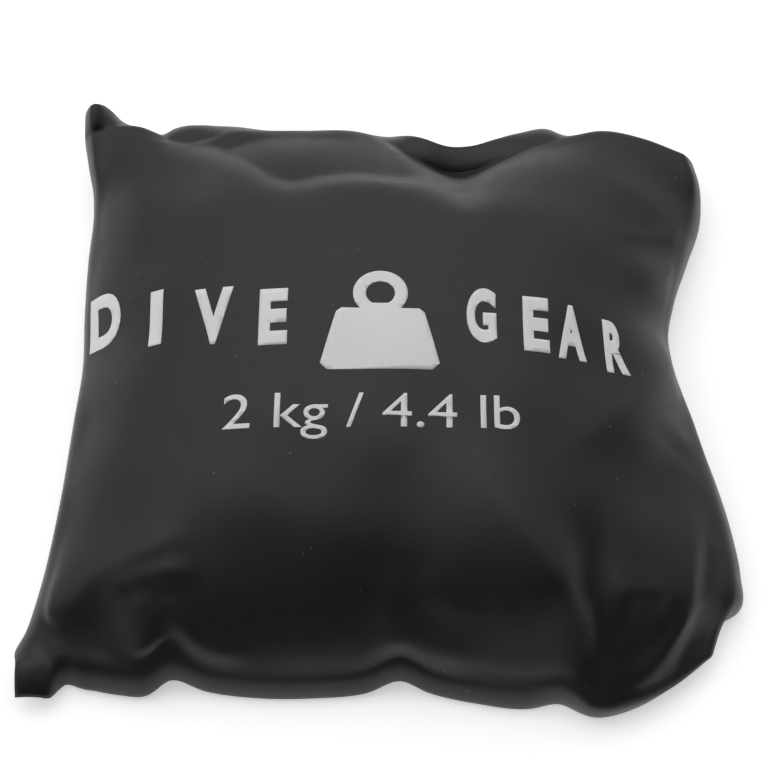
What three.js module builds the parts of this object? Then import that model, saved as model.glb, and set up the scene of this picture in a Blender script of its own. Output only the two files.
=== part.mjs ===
// A 2 kg soft dive weight: loose lead shot in a film inner bag, inside a pouch of two
// coated-fabric panels that are welded to each other round a flat rim.
// Millimetres. X runs across the pouch, Y from its near edge to its far edge, Z up.
// The origin is on the surface it lies on, under its middle.

import * as THREE from "three";

// Driving dimensions.
const WIDTH = 150; // across the near or far pair of corners
const DEPTH = 142; // along the left or right pair of corners
const HEIGHT = 35; // from the surface it lies on to its crown
const RIM_WIDTH = 7; // the flat band where the two panels are welded
const RIM_HEIGHT = 12; // the middle of the weld, above the surface
const PANEL_THICKNESS = 0.6;
const FILM_THICKNESS = 0.4;
const GAP = 0.3; // between any two pieces that touch
const WAIST = 5; // how far the middle of a side pulls in, as the fill rounds the pouch out

// Fullness of the domes: the power that rounds each one off towards its rim.
const CROWN_POWER = 4.6;
const BASE_POWER = 6;

// Every surface is drawn over one grid of lines across the plan. Line 0 is the outer edge
// and line 1 the weld's inner edge; a piece starts at the line that it reaches out to.
const GRID = 18; // squares across the grid
const PANEL_LINE = 0;
const FILM_LINE = 3;
const SHOT_LINE = 4;
const NORMAL_STEP = 1e-4; // share of the grid, for the slopes that give a surface's normal

const COATED_FABRIC = { color: 0x26272a, roughness: 0.5, metalness: 0 };
const CLEAR_FILM = { color: 0xd8dad6, roughness: 0.2, metalness: 0 };
const LEAD = { color: 0x6f7174, roughness: 0.55, metalness: 1 };

const WELD_LINE = 1 - RIM_WIDTH / (WIDTH / 2); // the weld's inner edge, where u or v is this
const panelDepth = 0;
const filmDepth = PANEL_THICKNESS + GAP;
const shotDepth = filmDepth + FILM_THICKNESS + GAP;

// How full the pouch is at (u, v), both from -1 to 1 across the plan: 0 on the rim and
// 1 in the middle, rising from each side as 1 - (1 - s)^power.
function fullness(u, v, power) {
  const fromSide = Math.max(0, 1 - Math.abs(u) / WELD_LINE);
  const fromEnd = Math.max(0, 1 - Math.abs(v) / WELD_LINE);
  return (1 - (1 - fromSide) ** power) * (1 - (1 - fromEnd) ** power);
}

// The outside of the pouch: the crowned top where side is 1, and the base that lies flat
// where side is -1. Each side of the plan pulls in by WAIST between its corners.
function outside(side, u, v) {
  const x = u * (WIDTH / 2 - WAIST * (1 - v * v));
  const y = v * (DEPTH / 2 - WAIST * (1 - u * u));
  const seam = RIM_HEIGHT + side * (GAP / 2 + PANEL_THICKNESS);
  if (side > 0) {
    return new THREE.Vector3(x, y, seam + (HEIGHT - seam) * fullness(u, v, CROWN_POWER));
  }
  return new THREE.Vector3(x, y, seam * (1 - fullness(u, v, BASE_POWER)));
}

// A point of a layer that lies a given depth inside the pouch, square to its outside.
function layerPoint(side, u, v, depth) {
  const alongU = outside(side, u + NORMAL_STEP, v).sub(outside(side, u - NORMAL_STEP, v));
  const alongV = outside(side, u, v + NORMAL_STEP).sub(outside(side, u, v - NORMAL_STEP));
  const inwards = alongU.cross(alongV).normalize().multiplyScalar(-side);
  return outside(side, u, v).addScaledVector(inwards, depth);
}

// Where grid line i crosses the plan, from -1 to 1. The lines between the two welds stand
// closer near the weld, where the surfaces curve most.
function gridLine(i) {
  if (i === 0 || i === GRID) {
    return Math.sign(i - 1);
  }
  return -WELD_LINE * Math.cos((Math.PI * (i - 1)) / (GRID - 2));
}

// A closed body between two surfaces, each a function of (u, v), that reaches out to the
// grid line given on all four sides. Upper faces +Z, lower faces -Z, and a wall round the
// edge joins them.
function closedBody(upper, lower, firstLine) {
  const positions = [];
  const indices = [];
  const squares = GRID - 2 * firstLine;
  const row = squares + 1;
  for (const surface of [upper, lower]) {
    for (let j = 0; j < row; j++) {
      for (let i = 0; i < row; i++) {
        positions.push(...surface(gridLine(firstLine + i), gridLine(firstLine + j)).toArray());
      }
    }
  }
  const at = (layer, i, j) => (layer * row + j) * row + i;
  const quad = (a, b, c, d) => indices.push(a, b, c, a, c, d);
  for (let j = 0; j < squares; j++) {
    for (let i = 0; i < squares; i++) {
      quad(at(0, i, j), at(0, i + 1, j), at(0, i + 1, j + 1), at(0, i, j + 1));
      quad(at(1, i, j), at(1, i, j + 1), at(1, i + 1, j + 1), at(1, i + 1, j));
    }
  }
  for (let k = 0; k < squares; k++) {
    quad(at(1, k, 0), at(1, k + 1, 0), at(0, k + 1, 0), at(0, k, 0));
    quad(at(1, squares, k), at(1, squares, k + 1), at(0, squares, k + 1), at(0, squares, k));
    quad(at(1, k + 1, squares), at(1, k, squares), at(0, k, squares), at(0, k + 1, squares));
    quad(at(1, 0, k + 1), at(1, 0, k), at(0, 0, k), at(0, 0, k + 1));
  }
  const geometry = new THREE.BufferGeometry();
  geometry.setAttribute("position", new THREE.Float32BufferAttribute(positions, 3));
  geometry.setIndex(indices);
  geometry.computeVertexNormals();
  return geometry;
}

// A sheet of even thickness that lies a given depth inside the pouch.
function sheet(name, side, depth, thickness, firstLine, finish) {
  const outer = (u, v) => layerPoint(side, u, v, depth);
  const inner = (u, v) => layerPoint(side, u, v, depth + thickness);
  const geometry = side > 0 ? closedBody(outer, inner, firstLine) : closedBody(inner, outer, firstLine);
  const mesh = new THREE.Mesh(geometry, new THREE.MeshStandardMaterial(finish));
  mesh.name = name;
  return mesh;
}

// The loose shot, as the one lump that it settles into inside the film.
function shotFill() {
  const top = (u, v) => layerPoint(1, u, v, shotDepth);
  const bottom = (u, v) => layerPoint(-1, u, v, shotDepth);
  const mesh = new THREE.Mesh(
    closedBody(top, bottom, SHOT_LINE),
    new THREE.MeshStandardMaterial(LEAD),
  );
  mesh.name = "lead_shot";
  return mesh;
}

const weight = new THREE.Group();
weight.add(
  sheet("front_panel", 1, panelDepth, PANEL_THICKNESS, PANEL_LINE, COATED_FABRIC),
  sheet("back_panel", -1, panelDepth, PANEL_THICKNESS, PANEL_LINE, COATED_FABRIC),
  sheet("inner_bag_front", 1, filmDepth, FILM_THICKNESS, FILM_LINE, CLEAR_FILM),
  sheet("inner_bag_back", -1, filmDepth, FILM_THICKNESS, FILM_LINE, CLEAR_FILM),
  shotFill(),
);

export default weight;
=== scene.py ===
"""A 2 kg soft dive weight: a welded pouch of black coated fabric, slack enough to crease,
filled with loose lead shot in a film bag. Metres, +X across the print, +Y away from the
reader, +Z up. The pouch lies on the floor with its printed front panel on top."""

from math import cos, radians, sin
import bmesh
import bpy
import numpy as np
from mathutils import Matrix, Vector


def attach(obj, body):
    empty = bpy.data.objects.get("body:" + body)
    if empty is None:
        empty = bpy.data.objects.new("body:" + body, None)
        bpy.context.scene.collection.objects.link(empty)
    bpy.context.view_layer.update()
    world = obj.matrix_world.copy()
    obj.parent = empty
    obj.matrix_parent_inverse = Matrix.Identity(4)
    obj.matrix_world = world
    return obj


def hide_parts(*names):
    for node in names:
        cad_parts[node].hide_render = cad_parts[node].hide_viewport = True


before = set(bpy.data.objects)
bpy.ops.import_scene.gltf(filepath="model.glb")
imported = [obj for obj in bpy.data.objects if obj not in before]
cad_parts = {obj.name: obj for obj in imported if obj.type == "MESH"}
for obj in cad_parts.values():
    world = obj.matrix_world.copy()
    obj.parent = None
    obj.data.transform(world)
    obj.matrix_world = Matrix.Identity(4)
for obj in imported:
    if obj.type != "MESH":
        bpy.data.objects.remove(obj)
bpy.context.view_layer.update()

# ---------------------------------------------------------------- the camera
# A short telephoto that looks down on the pouch from the reader's side, so that the whole
# front panel shows with a little of its near slope and of its rim.
CAMERA_ELEVATION = radians(62)
CAMERA_DISTANCE = 0.430
CAMERA_LENS_MM = 88.4
CAMERA_SENSOR_MM = 36
LOOKED_AT = Vector((0, 0, 0.010))

camera_data = bpy.data.cameras.new("camera")
camera_data.lens = CAMERA_LENS_MM
camera_data.sensor_width = CAMERA_SENSOR_MM
camera = bpy.data.objects.new("camera", camera_data)
bpy.context.scene.collection.objects.link(camera)
back_along_view = Vector((0, -cos(CAMERA_ELEVATION), sin(CAMERA_ELEVATION)))
camera.location = LOOKED_AT + CAMERA_DISTANCE * back_along_view
camera.rotation_euler = back_along_view.to_track_quat("Z", "Y").to_euler()
bpy.context.scene.camera = camera

# ---------------------------------------------------------------- the welded rim
# Both panels are cut to one rectangle and welded to each other round a flat rim, which
# the fill pulls into waves. The weld's inner edge is the line that the fill stops at.
CUT_WIDTH = 0.160
CUT_DEPTH = 0.156
RIM_WIDTH = 0.007
RIM_CELLS = 4  # squares of a panel's grid across the rim
RIM_CURL = 10  # degrees that each square of the rim turns down from the one before
FILL_CELLS = 92  # squares of a panel's grid between the welds
CELLS = FILL_CELLS + 2 * RIM_CELLS
LEAST_HEIGHT = 0.0008  # of the fabric above the floor, where it lies on it
LINE_SAMPLES = 1500  # along a smooth line, close enough to be straight between them
NEAR_WAVE_FADE = 8  # the power by which the near weld's waves die away inwards
WAVE_FADE = 9  # and that of the other three welds' waves

# The weld's inner edge along each side, in millimetres: x, y, z, and how far the rim
# beyond it tilts up from level, in degrees.
NEAR_WELD_MM = [
    (-71.5, -66.0, 6.5, -25),
    (-69.6, -64.6, 7, -50),
    (-64, -65.6, 7.2, -58),
    (-57, -67.2, 7.5, -62),
    (-51.5, -67.9, 8, -64),
    (-45.4, -64.8, 10.5, -60),
    (-38, -66.8, 8, -64),
    (-28, -68.2, 7.5, -66),
    (-15, -68.3, 7.5, -66),
    (-4, -67.2, 8, -64),
    (3.4, -65.0, 10.5, -60),
    (10, -67.2, 8, -64),
    (20, -69.5, 7.5, -66),
    (31, -71.2, 7.5, -72),
    (37, -70.9, 8, -78),
    (45, -75.2, 7, -92),
    (54, -73.4, 6, -100),
    (63, -68.6, 5, -120),
    (70, -63, 4.5, -150),
]
FAR_WELD_MM = [
    (-70.2, 66.9, 14, 28),
    (-68.2, 67.1, 14, 5),
    (-66.2, 67.4, 14, -25),
    (-63, 67.9, 14, -52),
    (-60, 67.8, 14, -66),
    (-55.2, 66.4, 13, -66),
    (-52, 64.6, 13, -32),
    (-49, 64.2, 13, -20),
    (-44, 64.7, 13, -22),
    (-41, 65.3, 13.3, -30),
    (-37.6, 66.0, 14, -40),
    (-28, 66.5, 14, -60),
    (-20, 66.6, 14, -75),
    (-4, 65.6, 14, -62),
    (3, 62.4, 13, -30),
    (9.2, 59.6, 11, 8),
    (16, 57.9, 9, 20),
    (21, 57.9, 9.5, 15),
    (27.6, 59.9, 11, 0),
    (33, 61.9, 12.5, -15),
    (40, 63.6, 14, -28),
    (46.5, 65.1, 14.5, -70),
    (52, 66.0, 15, -75),
    (62, 64.0, 15, -75),
    (71.8, 60, 14, -62),
]
LEFT_WELD_MM = [
    (-71.5, -66.0, 6.5, 5),
    (-73.8, -58, 7.5, -55),
    (-72.4, -45, 8.5, -75),
    (-70.6, -30, 9.5, -80),
    (-68.8, -8, 10, -80),
    (-67.8, 6, 10, -80),
    (-68.4, 20, 10, -80),
    (-68.6, 35, 10, -80),
    (-68.2, 48, 10.5, -80),
    (-68.5, 54, 11.5, -78),
    (-69.4, 60, 12.6, -74),
    (-70.2, 67.3, 14, -68),
]
RIGHT_WELD_MM = [
    (70, -63, 4.5, -150),
    (72.3, -57, 5, -140),
    (75.2, -51.5, 7.5, -72),
    (75.4, -45, 8.5, -68),
    (74.3, -36, 9.5, -68),
    (72.6, -27, 10, -70),
    (69.4, -11, 10, -88),
    (65.4, 6, 10, -92),
    (64.9, 12, 10, -92),
    (67.0, 23, 10, -90),
    (70.3, 35, 10.5, -78),
    (73.5, 48, 11, -68),
    (73.5, 55, 13, -68),
    (71.8, 60, 14, -62),
]


def smooth_line(points, count):
    """A smooth line through the points at count + 1 evenly spaced places along it: between
    two neighbours, a cubic whose slope at each is that of the chord across it."""
    p = np.array(points, float)
    step = np.linalg.norm(np.diff(p[:, :3], axis=0), axis=1)
    at = np.concatenate([[0], np.cumsum(step)])
    slope = np.gradient(p, at, axis=0)
    t = np.linspace(0, at[-1], LINE_SAMPLES)
    k = np.clip(np.searchsorted(at, t, side="right") - 1, 0, len(at) - 2)
    h = (at[k + 1] - at[k])[:, None]
    s = (t - at[k])[:, None] / h
    line = (
        (2 * s**3 - 3 * s**2 + 1) * p[k]
        + (s**3 - 2 * s**2 + s) * h * slope[k]
        + (3 * s**2 - 2 * s**3) * p[k + 1]
        + (s**3 - s**2) * h * slope[k + 1]
    )
    run = np.linalg.norm(np.diff(line[:, :3], axis=0), axis=1)
    length = np.concatenate([[0], np.cumsum(run)])
    even = np.linspace(0, length[-1], count + 1)
    return np.stack([np.interp(even, length, line[:, c]) for c in range(p.shape[1])], -1)


def weld_and_rim(points, outwards):
    """The weld line of one side in metres, and how far from it each line of its rim lies: a
    running sum of steps outwards, each turned up by the point's tilt and curled down a little
    more than the one before."""
    line = smooth_line(points, FILL_CELLS)
    curl = RIM_CURL * (np.arange(RIM_CELLS) - (RIM_CELLS - 1) / 2)
    tilt = np.radians(line[:, 3] - curl[:, None])[..., None]
    step = np.cos(tilt) * np.array(outwards, float) + np.sin(tilt) * np.array([0, 0, 1.0])
    return line[:, :3] / 1000, np.cumsum(step, 0) * RIM_WIDTH / RIM_CELLS


near_weld, near_rim = weld_and_rim(NEAR_WELD_MM, (0, -1, 0))
far_weld, far_rim = weld_and_rim(FAR_WELD_MM, (0, 1, 0))
left_weld, left_rim = weld_and_rim(LEFT_WELD_MM, (-1, 0, 0))
right_weld, right_rim = weld_and_rim(RIGHT_WELD_MM, (1, 0, 0))
inside = slice(RIM_CELLS, RIM_CELLS + FILL_CELLS + 1)


def gentle_and_waves(weld):
    """A weld line as a gentle bow, which is the chord between its ends plus the parabola that
    fits it best, and the waves that the pinches add to that."""
    s = np.linspace(0, 1, len(weld))[:, None]
    chord = (1 - s) * weld[0] + s * weld[-1]
    hump = s * (1 - s)
    bow = chord + hump * ((weld - chord) * hump).sum(0) / (hump**2).sum()
    return bow, weld - bow


def between_welds():
    """The surface that spans the four weld lines: the sum of the two ruled surfaces between
    the bows of facing sides, less the one ruled between the four corners, plus each side's
    waves, which die away as a power of 1 - share of the way across. Axis 0 is y, axis 1 x."""
    u = np.linspace(0, 1, FILL_CELLS + 1)[None, :, None]
    v = np.linspace(0, 1, FILL_CELLS + 1)[:, None, None]
    near_bow, near_waves = gentle_and_waves(near_weld)
    far_bow, far_waves = gentle_and_waves(far_weld)
    left_bow, left_waves = gentle_and_waves(left_weld)
    right_bow, right_waves = gentle_and_waves(right_weld)
    ruled_y = (1 - v) * near_bow[None] + v * far_bow[None]
    ruled_x = (1 - u) * left_bow[:, None] + u * right_bow[:, None]
    corners = (1 - u) * (1 - v) * near_weld[0] + u * (1 - v) * near_weld[-1]
    corners = corners + (1 - u) * v * far_weld[0] + u * v * far_weld[-1]
    waves = (1 - v) ** NEAR_WAVE_FADE * near_waves[None] + v**WAVE_FADE * far_waves[None]
    waves = waves + (1 - u) ** WAVE_FADE * left_waves[:, None]
    waves = waves + u**WAVE_FADE * right_waves[:, None]
    return ruled_y + ruled_x - corners + waves


def with_rim(fill):
    """A panel's whole grid: the fill's grid with the rim added on all four sides. At a
    corner the rim runs out along both of its sides at once."""
    grid = np.zeros((CELLS + 1, CELLS + 1, 3))
    grid[inside, inside] = fill
    first, last = RIM_CELLS, RIM_CELLS + FILL_CELLS
    outer = np.arange(1, RIM_CELLS + 1)
    grid[first - outer, inside] = near_weld + near_rim
    grid[last + outer, inside] = far_weld + far_rim
    grid[inside, first - outer] = (left_weld + left_rim).swapaxes(0, 1)
    grid[inside, last + outer] = (right_weld + right_rim).swapaxes(0, 1)
    for rows, weld, rim, side_end in [
        (first - outer, near_weld, near_rim, 0),
        (last + outer, far_weld, far_rim, -1),
    ]:
        for columns, side_rim, end in [
            (first - outer, left_rim, 0),
            (last + outer, right_rim, -1),
        ]:
            out = rim[:, None, end] + side_rim[None, :, side_end]
            grid[rows[:, None], columns[None, :]] = weld[end] + out
    grid[..., 2] = np.maximum(grid[..., 2], LEAST_HEIGHT)
    return grid


def fullness(power):
    """0 on the weld lines and 1 in the middle: the product over both directions of
    1 - (1 - s)^power, where s runs from 0 on a weld to 1 half way to the facing one."""
    s = 1 - np.abs(np.linspace(-1, 1, FILL_CELLS + 1))
    rise = 1 - (1 - s) ** power
    return rise[:, None] * rise[None, :]


def cut_lines(size):
    """Where the grid's lines lie across a panel as it was cut, from its middle."""
    rim = np.linspace(-size / 2, -size / 2 + RIM_WIDTH, RIM_CELLS + 1)
    fill = np.linspace(rim[-1], -rim[-1], FILL_CELLS + 1)
    return np.concatenate([rim[:-1], fill, -rim[-2::-1]])


# ---------------------------------------------------------------- the front panel
# Coated polyester, polyvinyl side out, cut flat, welded to the back panel and pushed up by
# the shot inside. A slack pouch can't be smooth, so it creases from each gather in its rim.
CROWN_HEIGHT = 0.0345  # of the panel's middle above the floor
CROWN_POWER = 3.1  # the higher, the flatter the crown and the steeper its sides
SIM_SCALE = 10  # the cloth is worked out this many times larger, where its solver is steady
PRESSURE = 6.0  # of the fill, in the solver's own unit
FRAMES = 30
FARTHEST_MOVE = 0.008
FOLD_STEPS = 40  # straight steps that a fold's path is divided into


def quads(rows, columns):
    """The corners of each square of a grid, in turn, so that its face points up."""
    a = (np.arange(rows - 1)[:, None] * columns + np.arange(columns - 1)[None, :]).ravel()
    return np.stack([a, a + 1, a + 1 + columns, a + columns], -1)


def relaxed(start, pressure, frames, farthest):
    """A panel's grid after its cloth has been pushed out by the fill and has crumpled. Its
    rest shape is the flat cut, the rim is held, and no point moves farther than is given."""
    rows, columns = start.shape[:2]
    faces = quads(rows, columns)
    mesh = bpy.data.meshes.new("cloth")
    mesh.from_pydata((start.reshape(-1, 3) * SIM_SCALE).tolist(), [], faces.tolist())
    cloth = bpy.data.objects.new("cloth", mesh)
    bpy.context.scene.collection.objects.link(cloth)
    y, x = np.meshgrid(cut_lines(CUT_DEPTH), cut_lines(CUT_WIDTH), indexing="ij")
    flat = np.stack([x, y, 0 * x], -1).reshape(-1, 3) * SIM_SCALE
    cloth.shape_key_add(name="Basis")
    cut = cloth.shape_key_add(name="cut")
    cut.data.foreach_set("co", flat.ravel().astype(np.float32))
    held = cloth.vertex_groups.new(name="held")
    order = np.arange(rows * columns).reshape(rows, columns)
    in_rim = np.ones((rows, columns), bool)
    in_rim[RIM_CELLS + 1 : -RIM_CELLS - 1, RIM_CELLS + 1 : -RIM_CELLS - 1] = False
    held.add(order[in_rim].tolist(), 1.0, "REPLACE")
    modifier = cloth.modifiers.new("cloth", "CLOTH")
    s = modifier.settings
    s.quality = 7
    s.mass = 0.3
    s.tension_stiffness = 40
    s.compression_stiffness = 25
    s.shear_stiffness = 12
    s.bending_stiffness = 0.6
    s.air_damping = 4
    s.use_pressure = True
    s.uniform_pressure_force = pressure
    s.vertex_group_mass = "held"
    s.pin_stiffness = 1
    s.rest_shape_key = cut
    s.effector_weights.gravity = 0
    modifier.collision_settings.use_collision = False
    scene = bpy.context.scene
    modifier.point_cache.frame_start = 1
    modifier.point_cache.frame_end = frames
    for f in range(1, frames + 1):
        scene.frame_set(f)
    evaluated = cloth.evaluated_get(bpy.context.evaluated_depsgraph_get())
    co = np.zeros(rows * columns * 3, np.float32)
    evaluated.data.vertices.foreach_get("co", co)
    bpy.data.objects.remove(cloth)
    scene.frame_set(1)
    found = co.reshape(rows, columns, 3).astype(float) / SIM_SCALE
    move = found - start
    far = np.linalg.norm(move, axis=-1, keepdims=True)
    return start + move * np.minimum(1, farthest / np.maximum(far, 1e-9))


def finer(grid):
    """The grid with a new line half way between each two: cubic through four neighbours."""
    for axis in (0, 1):
        g = np.moveaxis(grid, axis, 0)
        ends = np.concatenate([2 * g[:1] - g[1:2], g, 2 * g[-1:] - g[-2:-1]])
        middle = (9 * (ends[1:-2] + ends[2:-1]) - ends[:-3] - ends[3:]) / 16
        out = np.zeros((2 * len(g) - 1, *g.shape[1:]))
        out[::2] = g
        out[1::2] = middle
        grid = np.moveaxis(out, 0, axis)
    return grid


def facing(grid):
    """The unit normal of the surface at each point of a grid: across its two directions."""
    along_y, along_x = np.gradient(grid, axis=(0, 1))
    n = np.cross(along_x, along_y)
    return n / np.linalg.norm(n, axis=-1, keepdims=True)


def eased(share):
    """A share from 0 to 1, changed so that it leaves 0 and reaches 1 with no kink:
    three times its square, less twice its cube."""
    return share * share * (3 - 2 * share)


def fold_rise(path, height, left_width, right_width, fade):
    """How far a fold lifts each point of the cut panel: height on the path, falling away
    from it as exp(-(distance/width)^1.6), with one width to the left of the path as it
    runs and one to its right, and fading to nothing at its ends over the shares given."""
    y, x = np.meshgrid(cut_lines(CUT_DEPTH) * 1000, cut_lines(CUT_WIDTH) * 1000, indexing="ij")
    line = smooth_line([(*p, 0) for p in path], FOLD_STEPS)[:, :2]
    start, step = line[:-1], np.diff(line, axis=0)
    from_start = np.stack([x, y], -1)[:, :, None] - start
    share = np.clip((from_start * step).sum(-1) / (step**2).sum(-1), 0, 1)
    gap = from_start - share[..., None] * step
    distance = np.linalg.norm(gap, axis=-1)
    side = step[:, 0] * from_start[..., 1] - step[:, 1] * from_start[..., 0]
    nearest = distance.argmin(-1)[..., None]
    distance, share, side = (
        np.take_along_axis(values, nearest, -1)[..., 0] for values in (distance, share, side)
    )
    t = (nearest[..., 0] + share) / len(step)
    width = np.where(side > 0, left_width, right_width)
    fade_in, fade_out = fade
    ends = np.clip(t / fade_in, 0, 1) if fade_in else 1
    ends = ends * (np.clip((1 - t) / fade_out, 0, 1) if fade_out else 1)
    return height * eased(ends) * np.exp(-((distance / width) ** 1.6))


# Each fold: its path on the cut panel, its height, which is below 0 for a valley, its width
# to the left and right of that path, all in millimetres, and the shares of it that fade in
# and out.
FRONT_FOLDS = [
    # out of the pinches in the near weld
    (
        [(-73, -62), (-68, -58.5), (-60, -51), (-54, -48), (-48, -46.5), (-38, -45)],
        2.2, 8, 4.5, (0.1, 0.35)
    ),
    ([(-62, -57), (-57, -54.5), (-51, -53), (-45, -53), (-38, -53.5)], 1.5, 3.5, 3.5, (0.3, 0.35)),
    ([(-54, -54), (-52.5, -59), (-51.5, -64), (-50.5, -69)], 1.5, 4, 5, (0.35, 0.2)),
    ([(-50, -56), (-46, -61), (-41, -65.5), (-35, -68), (-24, -68)], 1.0, 4.5, 4, (0.35, 0.4)),
    ([(-45, -72), (-46, -66), (-48, -60)], -0.5, 4, 4, (0, 0.4)),
    ([(-61, -58), (-61, -65.5), (-59.5, -72.5)], -0.6, 4, 4, (0.4, 0)),
    ([(2.5, -74), (2, -66), (1, -56), (2, -50)], 1.3, 5, 5, (0.2, 0.5)),
    ([(11, -76), (13, -68.5), (13.5, -60)], 0.7, 5, 5, (0, 0.5)),
    ([(6, -52.5), (12.5, -57), (20.5, -60)], 0.6, 5, 5, (0.4, 0.4)),
    # the spur, the terrace and the hollow at the near right corner
    ([(24, -26), (30, -35), (35, -45), (38.5, -53), (42, -60)], 0.8, 5, 7, (0.5, 0.3)),
    ([(12, -22), (21.5, -36), (31, -48), (39, -58), (47, -68)], 5.6, 6.5, 15, (0.62, 0.38)),
    ([(44, -34), (43.5, -46), (45, -58), (48.5, -69)], -1.2, 4, 4, (0.5, 0.2)),
    ([(45, -53), (53, -53.3), (61, -54.3), (66.5, -55.5)], 2.6, 11, 8, (0.25, 0.2)),
    ([(47, -54), (54, -54), (60, -55.3)], 0.6, 3, 2, (0.3, 0.3)),
    ([(68, -46), (66.5, -54), (61, -62), (55.5, -67), (48, -70)], 1.2, 3, 2.5, (0.3, 0.25)),
    # out of the waist of the right weld
    ([(70, 6), (61.5, -6), (54, -13), (44, -22), (32, -31)], 1.3, 6, 8, (0, 0.5)),
    ([(69, -15), (63, -24), (57, -34), (51, -44)], -0.7, 6, 6, (0.2, 0.4)),
    ([(49, 36), (61.5, 40), (75, 45.5)], 0.35, 5, 1.8, (0.4, 0)),
    ([(74, 37), (66, 31), (57, 23)], 0.6, 7, 4, (0, 0.5)),
    ([(50, 56), (60, 51), (69, 47)], 0.9, 9, 9, (0.4, 0.3)),
    # out of the pinches in the far weld
    (
        [(-44, 75), (-40, 66), (-33, 57), (-25, 51), (-17, 52.5), (-6, 54), (4, 56), (12, 61)],
        -2.0, 10, 4.5, (0.15, 0.2)
    ),
    ([(17, 74), (18, 60), (18.5, 48), (20, 34)], -2.0, 7, 7, (0, 0.45)),
    ([(-66, 66), (-62, 52), (-59.5, 40), (-61, 23)], 0.9, 4, 7, (0.5, 0.4)),
]
SWELL_HEIGHT_MM = 0.35
HELD_BY_WELD = 0.004  # how far in from a weld the fabric is too stiff to fold freely

fill_surface = between_welds()
front_start = fill_surface.copy()
front_start[..., 2] += (CROWN_HEIGHT - front_start[..., 2]) * fullness(CROWN_POWER)
front_grid = with_rim(front_start)
front_grid = relaxed(front_grid, PRESSURE, FRAMES, FARTHEST_MOVE)
# Under the folds the shot pushes the panel into a broad swell: the product of two sines a few
# centimetres long, whose crests cross.
cut_y, cut_x = np.meshgrid(cut_lines(CUT_DEPTH), cut_lines(CUT_WIDTH), indexing="ij")
swell = np.sin(2 * np.pi * (cut_x / 0.041 + cut_y / 0.067) + 1)
swell = swell * np.sin(2 * np.pi * (cut_y / 0.038 - cut_x / 0.090) + 2)
front_rise = (sum(fold_rise(*fold) for fold in FRONT_FOLDS) + SWELL_HEIGHT_MM * swell) / 1000
from_weld = np.minimum(
    CUT_WIDTH / 2 - RIM_WIDTH - np.abs(cut_x),
    CUT_DEPTH / 2 - RIM_WIDTH - np.abs(cut_y),
)
free = eased(np.clip(from_weld / HELD_BY_WELD, 0, 1))
front_grid = front_grid + (front_rise * free)[..., None] * facing(front_grid)


def linear(hex_colour):
    """A hex sRGB colour as linear red, green, blue and alpha, which the shader takes."""
    channels = np.array([int(hex_colour[i : i + 2], 16) for i in (1, 3, 5)]) / 255
    light = np.where(channels <= 0.04045, channels / 12.92, ((channels + 0.055) / 1.055) ** 2.4)
    return (*light, 1)


def node(tree, kind, settings=(), links=()):
    """Adds a node to a material, with its settings and inputs set by name or number, and
    links from other nodes' outputs into its own inputs."""
    made = tree.nodes.new(kind)
    for name, value in dict(settings).items():
        if isinstance(name, int) or name in made.inputs:
            made.inputs[name].default_value = value
        else:
            setattr(made, name, value)
    for name, source in dict(links).items():
        tree.links.new(source, made.inputs[name])
    return made


def new_material(name):
    """A plain material: itself, its node tree, its shader, and the place on the object, in
    metres, that its patterns read."""
    material = bpy.data.materials.new(name)
    material.use_nodes = True
    tree = material.node_tree
    place = node(tree, "ShaderNodeTexCoord").outputs["Object"]
    return material, tree, tree.nodes["Principled BSDF"], place


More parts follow.
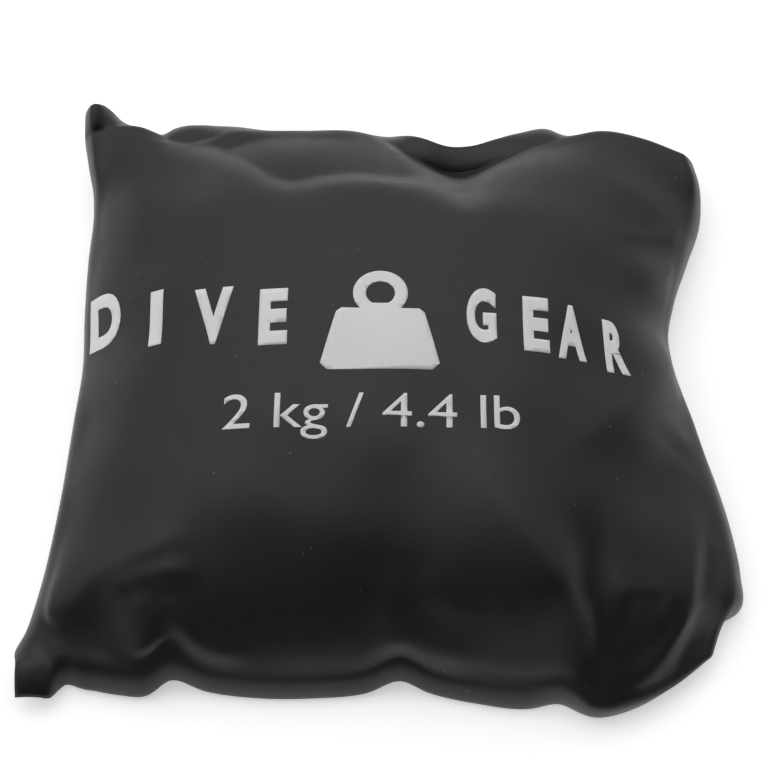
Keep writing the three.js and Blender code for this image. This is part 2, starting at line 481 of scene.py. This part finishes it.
def coated_polyester():
    """Woven polyester under a black polyvinyl coating. The coat is dead smooth to the touch
    but not flat, so it gives a broad satin sheen that breaks up a little over every few
    millimetres. The weld presses it flatter, so the rim shines slightly more, and the rim's cut
    edge is coloured a paler grey. Dust shows on it as pale specks."""
    material, tree, shader, place = new_material("coated_polyester")
    cut = node(tree, "ShaderNodeUVMap", {"uv_map": "cut"}).outputs["UV"]
    # Distance in from the cut edge, as a share of the rim: 0 at the edge, 1 at the weld.
    centred = node(
        tree, "ShaderNodeVectorMath", {"operation": "SUBTRACT", 1: (0.5, 0.5, 0)}, {0: cut}
    )
    apart = node(tree, "ShaderNodeVectorMath", {"operation": "ABSOLUTE"}, {0: centred.outputs[0]})
    sides = node(tree, "ShaderNodeSeparateXYZ", {}, {0: apart.outputs[0]})
    across, along = [
        node(tree, "ShaderNodeMapRange", {1: 0.5, 2: 0.5 - RIM_WIDTH / size}, {0: side})
        for size, side in ((CUT_WIDTH, sides.outputs[0]), (CUT_DEPTH, sides.outputs[1]))
    ]
    inwards = node(
        tree,
        "ShaderNodeMath",
        {"operation": "MINIMUM"},
        {0: across.outputs[0], 1: along.outputs[0]},
    )

    # Colour: black, slightly uneven over 20 mm, greyer on the cut edge, with dust specks
    # 0.2 mm across, about one to each 6 mm square.
    patches = node(tree, "ShaderNodeTexNoise", {"Scale": 1 / 0.020, "Detail": 3}, {0: place})
    black = node(
        tree,
        "ShaderNodeMix",
        {"data_type": "RGBA", 6: linear("#171718"), 7: linear("#1b1b1c")},
        {0: patches.outputs[0]},
    )
    # The last tenth of the rim, at its cut edge, is painted a paler grey than the black.
    edge = node(
        tree, "ShaderNodeMapRange", {1: 0.0, 2: 0.10, 3: 0.12, 4: 0.0}, {0: inwards.outputs[0]}
    )
    greyer_cut_edge = node(
        tree,
        "ShaderNodeMix",
        {"data_type": "RGBA", 7: linear("#4a4a4b")},
        {0: edge.outputs[0], 6: black.outputs[2]},
    )
    speck = node(tree, "ShaderNodeTexVoronoi", {"Scale": 1 / 0.006, "Randomness": 1.0}, {0: place})
    dot = node(
        tree,
        "ShaderNodeMapRange",
        {1: 0.022, 2: 0.034, 3: 0.5, 4: 0.0},
        {0: speck.outputs["Distance"]},
    )
    dusty = node(
        tree,
        "ShaderNodeMix",
        {"data_type": "RGBA", 7: linear("#8c8c8a")},
        {0: dot.outputs[0], 6: greyer_cut_edge.outputs[2]},
    )
    tree.links.new(dusty.outputs[2], shader.inputs["Base Color"])

    # Gloss: satin, broken up over 4 mm, flatter and so a little glossier on the rim.
    smear = node(tree, "ShaderNodeTexNoise", {"Scale": 1 / 0.004, "Detail": 4}, {0: place})
    satin = node(
        tree, "ShaderNodeMapRange", {1: 0.3, 2: 0.7, 3: 0.39, 4: 0.46}, {0: smear.outputs[0]}
    )
    rim = node(
        tree, "ShaderNodeMapRange", {1: 0.9, 2: 1.05, 3: -0.04, 4: 0.0}, {0: inwards.outputs[0]}
    )
    gloss = node(
        tree, "ShaderNodeMath", {"operation": "ADD"}, {0: satin.outputs[0], 1: rim.outputs[0]}
    )
    tree.links.new(gloss.outputs[0], shader.inputs["Roughness"])
    shader.inputs["IOR"].default_value = 1.42

    # Relief: the weave telegraphs through the coat, at a thread every 0.5 mm, and the coat
    # has a faint orange-peel 1.5 mm across.
    per_metre = 2 * np.pi / 0.0005
    threads = node(
        tree,
        "ShaderNodeVectorMath",
        {"operation": "MULTIPLY", 1: (per_metre * CUT_WIDTH, per_metre * CUT_DEPTH, 0)},
        {0: cut},
    )
    angle = node(tree, "ShaderNodeSeparateXYZ", {}, {0: threads.outputs[0]})
    warp = node(tree, "ShaderNodeMath", {"operation": "SINE"}, {0: angle.outputs[0]})
    weft = node(tree, "ShaderNodeMath", {"operation": "SINE"}, {0: angle.outputs[1]})
    weave = node(
        tree, "ShaderNodeMath", {"operation": "MULTIPLY"}, {0: warp.outputs[0], 1: weft.outputs[0]}
    )
    fine = node(
        tree,
        "ShaderNodeBump",
        {"Strength": 0.10, "Distance": 0.00003},
        {"Height": weave.outputs[0]},
    )
    peel = node(tree, "ShaderNodeTexNoise", {"Scale": 1 / 0.0015, "Detail": 2}, {0: place})
    coarse = node(
        tree,
        "ShaderNodeBump",
        {"Strength": 0.25, "Distance": 0.00006},
        {"Height": peel.outputs[0], "Normal": fine.outputs[0]},
    )
    tree.links.new(coarse.outputs[0], shader.inputs["Normal"])
    return material


def add_piece(name, vertices, faces, material):
    """A piece of the object from points in metres and lists of the corners of its faces,
    which point outwards."""
    mesh = bpy.data.meshes.new(name)
    mesh.from_pydata(vertices.tolist(), [], faces)
    mesh.materials.append(material)
    mesh.shade_smooth()
    piece = bpy.data.objects.new(name, mesh)
    bpy.context.scene.collection.objects.link(piece)
    return piece


def panel_piece(name, grid, material, faces_up):
    """A sheet's mesh from its grid, with its place on the cut panel as its UV map."""
    rows, columns = grid.shape[:2]
    faces = quads(rows, columns)
    if not faces_up:
        faces = faces[:, ::-1]
    piece = add_piece(name, grid.reshape(-1, 3), faces.tolist(), material)
    share_x, share_y = (
        np.interp(np.linspace(0, CELLS, count), np.arange(CELLS + 1), cut_lines(size)) / size + 0.5
        for count, size in ((columns, CUT_WIDTH), (rows, CUT_DEPTH))
    )
    shares = np.stack(np.meshgrid(share_x, share_y), -1).reshape(-1, 2)
    layer = piece.data.uv_layers.new(name="cut")
    layer.data.foreach_set("uv", shares[faces.ravel()].ravel().astype(np.float32))
    return piece


def thicken(piece, thickness, offset=1):
    """Gives a sheet its wall: outwards from its surface at an offset of 1, inwards at -1."""
    wall = piece.modifiers.new("thickness", "SOLIDIFY")
    wall.thickness = thickness
    wall.offset = offset


PANEL_THICKNESS = 0.0006
front_surface = finer(front_grid)
fabric = coated_polyester()
front_panel = panel_piece("printed_front_panel", front_surface, fabric, True)
thicken(front_panel, PANEL_THICKNESS)
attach(front_panel, "root")
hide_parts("front_panel")

# ---------------------------------------------------------------- the back panel
# The same fabric, cut to the same rectangle. The weight of the shot presses it flat on the
# floor, and it turns up to the weld in a low wall that gathers under each pinch of the rim.
BASE_POWER = 4.2  # the higher, the wider the part that lies flat
BACK_FOLDS = [  # given as the front panel's are
    ([(-45.5, -76), (-44, -65.5), (-43, -55)], 2.2, 3, 3, (0, 0.5)),
    ([(3.5, -76), (3, -65.5), (1, -55)], 2.0, 3, 3, (0, 0.5)),
    ([(38, -76), (36, -65.5), (35, -57)], 1.2, 3, 3, (0, 0.5)),
    ([(18, 76), (18.5, 65.5), (20.5, 52.5)], 2.4, 4, 4, (0, 0.5)),
    ([(-56.5, 76), (-55.5, 67.5), (-51.5, 57)], 1.6, 3.5, 3.5, (0, 0.5)),
    ([(-78, 6.5), (-67.5, 8.5), (-57.5, 9.5)], 1.2, 4, 4, (0, 0.5)),
    ([(78, 10.5), (67.5, 9.5), (56.5, 6.5)], 2.2, 5, 5, (0, 0.5)),
    ([(-78, -42), (-67.5, -40), (-58.5, -38)], 1.0, 3.5, 3.5, (0, 0.5)),
    ([(78, -31.5), (67.5, -32.5), (58.5, -35)], 1.2, 3.5, 3.5, (0, 0.5)),
]
back_start = fill_surface.copy()
back_start[..., 2] *= 1 - fullness(BASE_POWER)
back_grid = with_rim(back_start)
back_rise = sum(fold_rise(*fold) for fold in BACK_FOLDS) / 1000
back_grid = back_grid + (back_rise * free)[..., None] * facing(back_grid)
back_grid[..., 2] = np.maximum(back_grid[..., 2], LEAST_HEIGHT)
back_surface = finer(back_grid)
back_surface[..., 2] = np.maximum(back_surface[..., 2], LEAST_HEIGHT)
back_panel = panel_piece("plain_back_panel", back_surface, fabric, False)
thicken(back_panel, PANEL_THICKNESS)
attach(back_panel, "root")
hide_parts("back_panel")

# ---------------------------------------------------------------- the inner bag
# Two sheets of clear polythene, welded to each other just inside the pouch's own weld. They
# keep the shot and its grey dust off the fabric, and lie against it everywhere.
FILM_THICKNESS = 0.00015
FILM_GAP = 0.0003
FILM_FIRST = RIM_CELLS + 2  # the grid line that the bag's own weld lies on
CLOSING_CELLS = 4  # squares of the grid over which its two sheets come together
LEAST_HALF_GAP = 0.0004  # between the two sheets of a layer, away from its edge


def polythene():
    """Blown polythene film: clear, with a faint milkiness and a slightly wavy gloss."""
    material, tree, shader, place = new_material("polythene_film")
    haze = node(tree, "ShaderNodeTexNoise", {"Scale": 1 / 0.006, "Detail": 3}, {0: place})
    milk = node(
        tree,
        "ShaderNodeMix",
        {"data_type": "RGBA", 6: linear("#d3d6d2"), 7: linear("#e4e6e3")},
        {0: haze.outputs[0]},
    )
    tree.links.new(milk.outputs[2], shader.inputs["Base Color"])
    ripple = node(
        tree, "ShaderNodeBump", {"Strength": 0.3, "Distance": 0.0002}, {"Height": haze.outputs[0]}
    )
    tree.links.new(ripple.outputs[0], shader.inputs["Normal"])
    shader.inputs["Roughness"].default_value = 0.18
    shader.inputs["IOR"].default_value = 1.51
    shader.inputs["Transmission Weight"].default_value = 0.85
    return material


def lining(depth, first):
    """Both surfaces of a layer that lies a depth inside the pouch, from the grid line given
    inwards. Near that line they draw together, as the square root of the distance from it,
    to one edge half way between them."""
    keep = slice(first, CELLS + 1 - first)
    upper = (front_grid - depth * facing(front_grid))[keep, keep]
    lower = (back_grid + depth * facing(back_grid))[keep, keep]
    size = len(upper)
    from_edge = np.minimum(np.arange(size), np.arange(size)[::-1])
    nearest = np.minimum(from_edge[:, None], from_edge[None, :])
    open_share = np.sqrt(np.clip(nearest / CLOSING_CELLS, 0, 1))[..., None]
    middle = (upper + lower) / 2
    half_gap = (upper - lower) / 2
    half_gap[..., 2] = np.maximum(half_gap[..., 2], LEAST_HALF_GAP)
    return middle + half_gap * open_share, middle - half_gap * open_share


film = polythene()
film_upper, film_lower = lining(FILM_GAP, FILM_FIRST)
film_cut = tuple(cut_lines(size)[-1 - FILM_FIRST] * 2 for size in (CUT_WIDTH, CUT_DEPTH))
for film_name, surface, faces_up, stands_for in [
    ("inner_bag_top_film", film_upper, True, "inner_bag_front"),
    ("inner_bag_base_film", film_lower, False, "inner_bag_back"),
]:
    faces = quads(*surface.shape[:2])
    if not faces_up:
        faces = faces[:, ::-1]
    sheet = add_piece(film_name, surface.reshape(-1, 3), faces.tolist(), film)
    thicken(sheet, FILM_THICKNESS, -1)
    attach(sheet, "root")
    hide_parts(stands_for)

# ---------------------------------------------------------------- the lead shot
# Loose cast lead balls, poured into the inner bag. Real shot this fine is 2.5 mm across;
# it is drawn 4 mm across, and only its outermost layer is balls, on a core of their shape.
BALL_DIAMETER = 0.004
BALL_RINGS = 4  # bands of faces from one pole to the other
BALL_SPOKES = 6
CORE_FIRST = RIM_CELLS + 6  # the grid line that the core's edge lies on


def lead():
    """Cast lead shot rolled in graphite: a soft grey metal that has gone dull, darker in
    patches where the oxide is thicker."""
    material, tree, shader, place = new_material("oxidised_lead")
    oxide = node(tree, "ShaderNodeTexNoise", {"Scale": 1 / 0.003, "Detail": 4}, {0: place})
    grey = node(
        tree,
        "ShaderNodeMix",
        {"data_type": "RGBA", 6: linear("#5b5d60"), 7: linear("#85878a")},
        {0: oxide.outputs[0]},
    )
    tree.links.new(grey.outputs[2], shader.inputs["Base Color"])
    dull = node(
        tree, "ShaderNodeMapRange", {1: 0.3, 2: 0.7, 3: 0.65, 4: 0.45}, {0: oxide.outputs[0]}
    )
    tree.links.new(dull.outputs[0], shader.inputs["Roughness"])
    pits = node(
        tree, "ShaderNodeBump", {"Strength": 0.4, "Distance": 0.0001}, {"Height": oxide.outputs[0]}
    )
    tree.links.new(pits.outputs[0], shader.inputs["Normal"])
    shader.inputs["Metallic"].default_value = 1.0
    return material


def ball():
    """A unit ball: rings of evenly turned points between two poles, and its faces."""
    tilt = np.pi * np.arange(1, BALL_RINGS) / BALL_RINGS
    turn = 2 * np.pi * np.arange(BALL_SPOKES) / BALL_SPOKES
    ring = np.stack(
        [
            np.sin(tilt)[:, None] * np.cos(turn)[None],
            np.sin(tilt)[:, None] * np.sin(turn)[None],
            np.cos(tilt)[:, None] + 0 * turn[None],
        ],
        -1,
    ).reshape(-1, 3)
    points = np.concatenate([[[0, 0, 1]], ring, [[0, 0, -1]]])
    k = np.arange(BALL_SPOKES)
    after = (k + 1) % BALL_SPOKES
    last = len(points) - 1
    top = np.stack([0 * k, 1 + k, 1 + after], -1)
    base = 1 + (BALL_RINGS - 2) * BALL_SPOKES
    bottom = np.stack([0 * k + last, base + after, base + k], -1)
    bands = [
        np.stack([a + k, a + BALL_SPOKES + k, a + BALL_SPOKES + after, a + after], -1)
        for a in 1 + BALL_SPOKES * np.arange(BALL_RINGS - 2)
    ]
    return points, top, bottom, np.concatenate(bands)


def on_grid(grid, x, y):
    """The points of a panel's surface at places (x, y) on the cut panel, in metres: the
    mean of the four nearest grid points, each weighed by how close it is both ways."""
    rows, columns = grid.shape[:2]
    at_x = np.interp(x, cut_lines(CUT_WIDTH), np.linspace(0, columns - 1, CELLS + 1))
    at_y = np.interp(y, cut_lines(CUT_DEPTH), np.linspace(0, rows - 1, CELLS + 1))
    i = np.clip(at_x.astype(int), 0, columns - 2)
    j = np.clip(at_y.astype(int), 0, rows - 2)
    u, v = (at_x - i)[:, None], (at_y - j)[:, None]
    near = (1 - u) * grid[j, i] + u * grid[j, i + 1]
    far = (1 - u) * grid[j + 1, i] + u * grid[j + 1, i + 1]
    return (1 - v) * near + v * far


def closed_lump(upper, lower):
    """One closed surface of two grids that share their edge points."""
    rows, columns = upper.shape[:2]
    order = np.arange(rows * columns).reshape(rows, columns)
    inner = order[1:-1, 1:-1].ravel()
    below = order.copy().ravel()
    below[inner] = rows * columns + np.arange(len(inner))
    faces = quads(rows, columns)
    points = np.concatenate([upper.reshape(-1, 3), lower.reshape(-1, 3)[inner]])
    return points, np.concatenate([faces, below[faces][:, ::-1]])


# The balls touch in rows, and each second row is set over by half a ball.
ball_depth = 2 * FILM_GAP + FILM_THICKNESS + BALL_DIAMETER / 2
half_x, half_y = film_cut[0] / 2 - BALL_DIAMETER, film_cut[1] / 2 - BALL_DIAMETER
row_step = BALL_DIAMETER * 0.5 * 3**0.5
row_y = np.arange(-half_y, half_y, row_step)
column_x = np.arange(-half_x, half_x - BALL_DIAMETER / 2, BALL_DIAMETER)
lattice_x = column_x[None, :] + (np.arange(len(row_y)) % 2 * BALL_DIAMETER / 2)[:, None]
lattice_y = row_y[:, None] + 0 * column_x[None, :]
lattice = (lattice_x.ravel(), lattice_y.ravel())
top_balls = on_grid(front_grid - ball_depth * facing(front_grid), *lattice)
base_balls = on_grid(back_grid + ball_depth * facing(back_grid), *lattice)
roomy = (top_balls - base_balls)[:, 2] > BALL_DIAMETER
centres = np.concatenate([top_balls[roomy], base_balls[roomy]])
ball_points, ball_top, ball_bottom, ball_bands = ball()
core_upper, core_lower = lining(ball_depth, CORE_FIRST)
core_points, core_faces = closed_lump(core_upper, core_lower)
shell_points = (centres[:, None] + ball_points[None] * BALL_DIAMETER / 2).reshape(-1, 3)
shot_points = np.concatenate([core_points, shell_points])
ball_first = len(core_points) + np.arange(len(centres))[:, None, None] * len(ball_points)
shot_faces = core_faces.tolist()
for part in (ball_top, ball_bottom, ball_bands):
    shot_faces += (ball_first + part[None]).reshape(-1, part.shape[1]).tolist()
shot = add_piece("loose_lead_shot", shot_points, shot_faces, lead())
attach(shot, "root")
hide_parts("lead_shot")

# ---------------------------------------------------------------- the print
# One pass of pale grey ink, screened on the flat panel before it is welded, so it bends and
# stretches with the fabric: two plain words, a pictogram of a weight, and the mass.
INK_THICKNESS = 0.00005
INK_CLEARANCE = 0.00003
STROKE_WEIGHT = 0.05  # by which the words' strokes are thickened
PICTOGRAM_BOX = (-0.0157, 0.0113, -0.0074, 0.0190)  # left, right, base and top, in metres
MASS_LINE_BOX = (-0.0368, 0.0292, -0.0244, -0.0134)
PRINT_CAPITALS_MM = 14.8
# Each capital, and in millimetres the x of its middle, the y of its base, and its width.
LETTERS_MM = [
    ("D", -67.9, 6.7, 8.2),
    ("I", -54.3, 2.5, 3.2),
    ("V", -40.5, 0.4, 9.0),
    ("E", -26.5, -1.0, 6.6),
    ("G", 21.1, 0.2, 7.0),
    ("E", 33.9, -1.3, 6.2),
    ("A", 42.5, -2.1, 7.0),
    ("R", 53.6, -3.8, 5.6),
]


def screen_ink():
    """Vinyl screen ink: matt pale grey, a little darker where it went on thin and the black
    coat shows through, with the faint grain that the screen leaves."""
    material, tree, shader, place = new_material("screen_ink")
    thin = node(tree, "ShaderNodeTexNoise", {"Scale": 1 / 0.0012, "Detail": 4}, {0: place})
    grey = node(
        tree,
        "ShaderNodeMix",
        {"data_type": "RGBA", 6: linear("#dfdfdd"), 7: linear("#e9e9e7")},
        {0: thin.outputs[0]},
    )
    tree.links.new(grey.outputs[2], shader.inputs["Base Color"])
    relief = node(
        tree, "ShaderNodeBump", {"Strength": 0.15, "Distance": 0.00004}, {"Height": thin.outputs[0]}
    )
    tree.links.new(relief.outputs[0], shader.inputs["Normal"])
    shader.inputs["Roughness"].default_value = 0.62
    shader.inputs["Specular IOR Level"].default_value = 0.35
    return material


def flat_shape(curve):
    """A filled flat curve's points and faces."""
    holder = bpy.data.objects.new("flat", curve)
    bpy.context.scene.collection.objects.link(holder)
    filled = holder.evaluated_get(bpy.context.evaluated_depsgraph_get())
    mesh = bpy.data.meshes.new_from_object(filled)
    bpy.data.objects.remove(holder)
    points = np.array([v.co[:2] for v in mesh.vertices])
    faces = [list(p.vertices) for p in mesh.polygons]
    bpy.data.meshes.remove(mesh)
    return points, faces


def lettering(words, weight):
    """A line of plain lettering as flat points and faces. Weight thickens its strokes."""
    text = bpy.data.curves.new("lettering", "FONT")
    text.body = words
    text.offset = weight
    text.resolution_u = 6
    return flat_shape(text)


def arc_from(floor_y, middle_y, radius, count):
    """An arc about a point on the y axis, from where it rises through a height on the right,
    over its top, to the same height on the left."""
    start = np.arcsin((floor_y - middle_y) / radius)
    turn = np.linspace(start, np.pi - start, count)
    return np.stack([radius * np.cos(turn), middle_y + radius * np.sin(turn)], -1)


def weight_pictogram():
    """A kettle weight seen from the side, one unit wide: a block that widens downwards, with
    a ring handle whose opening is a shorter arc inside it."""
    curve = bpy.data.curves.new("pictogram", "CURVE")
    curve.dimensions = "2D"
    curve.fill_mode = "BOTH"
    shoulder_y = 0.60
    ring_y = 0.76
    ring = arc_from(shoulder_y, ring_y, 0.235, 28)
    opening = arc_from(shoulder_y + 0.055, ring_y, 0.125, 20)
    right = [(0.44, 0.0), (0.5, 0.06), (0.375, 0.56), (0.33, shoulder_y)]
    left = [(-x, y) for x, y in reversed(right)]
    outline = np.concatenate([left[-2:], right, ring, left[:-2]])
    for line in (outline, opening):
        spline = curve.splines.new("POLY")
        spline.points.add(len(line) - 1)
        spline.points.foreach_set("co", np.c_[line, 0 * line[:, 0], 1 + 0 * line[:, 0]].ravel())
        spline.use_cyclic_u = True
    return flat_shape(curve)


def printed(shape, left, right, base, top):
    """A flat shape stretched to fill a box on the cut panel, in metres."""
    points, faces = shape
    low, high = points.min(0), points.max(0)
    size = np.array([right - left, top - base]) / (high - low)
    return (points - low) * size + np.array([left, base]), faces


def cut_along_grid(points, faces):
    """The flat faces divided along the panel's grid lines, so that they can bend with it."""
    made = bmesh.new()
    corners = [made.verts.new((*p, 0)) for p in points]
    for face in faces:
        made.faces.new([corners[k] for k in face])
    for axis, size in ((0, CUT_WIDTH), (1, CUT_DEPTH)):
        lines = cut_lines(size)
        low, high = points[:, axis].min(), points[:, axis].max()
        for line in lines[(lines > low) & (lines < high)]:
            place, across = [0, 0, 0], [0, 0, 0]
            place[axis], across[axis] = line, 1
            everything = made.verts[:] + made.edges[:] + made.faces[:]
            bmesh.ops.bisect_plane(made, geom=everything, plane_co=place, plane_no=across, dist=1e-7)
    bmesh.ops.triangulate(made, faces=made.faces[:])
    bmesh.ops.recalc_face_normals(made, faces=made.faces[:])
    made.verts.index_update()
    found = np.array([v.co[:2] for v in made.verts])
    triangles = [[v.index for v in f.verts] for f in made.faces]
    made.free()
    return found, triangles


prints = [
    (
        lettering(letter, STROKE_WEIGHT),
        np.array([middle - width / 2, middle + width / 2, base, base + PRINT_CAPITALS_MM]) / 1000,
    )
    for letter, middle, base, width in LETTERS_MM
]
prints += [
    (weight_pictogram(), PICTOGRAM_BOX),
    (lettering("2 kg / 4.4 lb", 0.0), MASS_LINE_BOX),
]
ink_points, ink_faces = [], []
for shape, box in prints:
    points, faces = cut_along_grid(*printed(shape, *box))
    so_far = sum(len(earlier) for earlier in ink_points)
    ink_faces += [[so_far + k for k in face] for face in faces]
    ink_points.append(points)
ink_at = np.concatenate(ink_points)
ink_surface = front_surface + (PANEL_THICKNESS + INK_CLEARANCE) * facing(front_surface)
ink_vertices = on_grid(ink_surface, *ink_at.T)
ink = add_piece("screen_print", ink_vertices, ink_faces, screen_ink())
thicken(ink, INK_THICKNESS)
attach(ink, "root")

# ---------------------------------------------------------------- floor and light
# A white card that glows a little, as a lit sweep does, so it shows almost as white as the
# wall behind. One wide softbox hangs overhead, and the room is brighter behind the pouch.
FLOOR_HALF = 30
FLOOR_GLOW = 0.47

floor_mesh = bpy.data.meshes.new("floor")
floor_corners = [(x * FLOOR_HALF, y * FLOOR_HALF, 0) for x, y in ((-1, -1), (1, -1), (1, 1), (-1, 1))]
floor_mesh.from_pydata(floor_corners, [], [(0, 1, 2, 3)])
floor = bpy.data.objects.new("floor", floor_mesh)
bpy.context.scene.collection.objects.link(floor)
card, _, card_shader, _ = new_material("white_card")
card_shader.inputs["Base Color"].default_value = linear("#f3f3f3")
card_shader.inputs["Roughness"].default_value = 0.9
card_shader.inputs["Emission Color"].default_value = linear("#ffffff")
card_shader.inputs["Emission Strength"].default_value = FLOOR_GLOW
floor.data.materials.append(card)

softbox_light = bpy.data.lights.new("softbox", "AREA")
softbox_light.shape = "RECTANGLE"
softbox_light.size = 1.4
softbox_light.size_y = 0.9
softbox_light.energy = 1.8
softbox = bpy.data.objects.new("softbox", softbox_light)
bpy.context.scene.collection.objects.link(softbox)
softbox.location = (-0.2, 0.3, 0.8)
softbox.rotation_euler = softbox.location.to_track_quat("Z", "Y").to_euler()

world = bpy.data.worlds.new("room")
world.use_nodes = True
room = world.node_tree
background = room.nodes["Background"]
background.inputs["Color"].default_value = linear("#ffffff")
# The room's brightness in each direction: how far behind the pouch it lies, times how high.
towards = node(room, "ShaderNodeTexCoord").outputs["Generated"]
behind = node(
    room,
    "ShaderNodeVectorMath",
    {"operation": "DOT_PRODUCT", 1: (-0.28, 0.96, 0)},
    {0: towards},
)
glow = node(
    room,
    "ShaderNodeMapRange",
    {1: -0.66, 2: 0.36, 3: 0.06, 4: 1.05},
    {0: behind.outputs["Value"]},
)
height = node(room, "ShaderNodeSeparateXYZ", {}, {0: towards})
dome = node(room, "ShaderNodeMapRange", {1: 0.0, 2: 0.88, 3: 0.5, 4: 1.0}, {0: height.outputs[2]})
strength = node(
    room, "ShaderNodeMath", {"operation": "MULTIPLY"}, {0: glow.outputs[0], 1: dome.outputs[0]}
)
room.links.new(strength.outputs[0], background.inputs["Strength"])
bpy.context.scene.world = world
bpy.context.scene.view_settings.view_transform = "Standard"
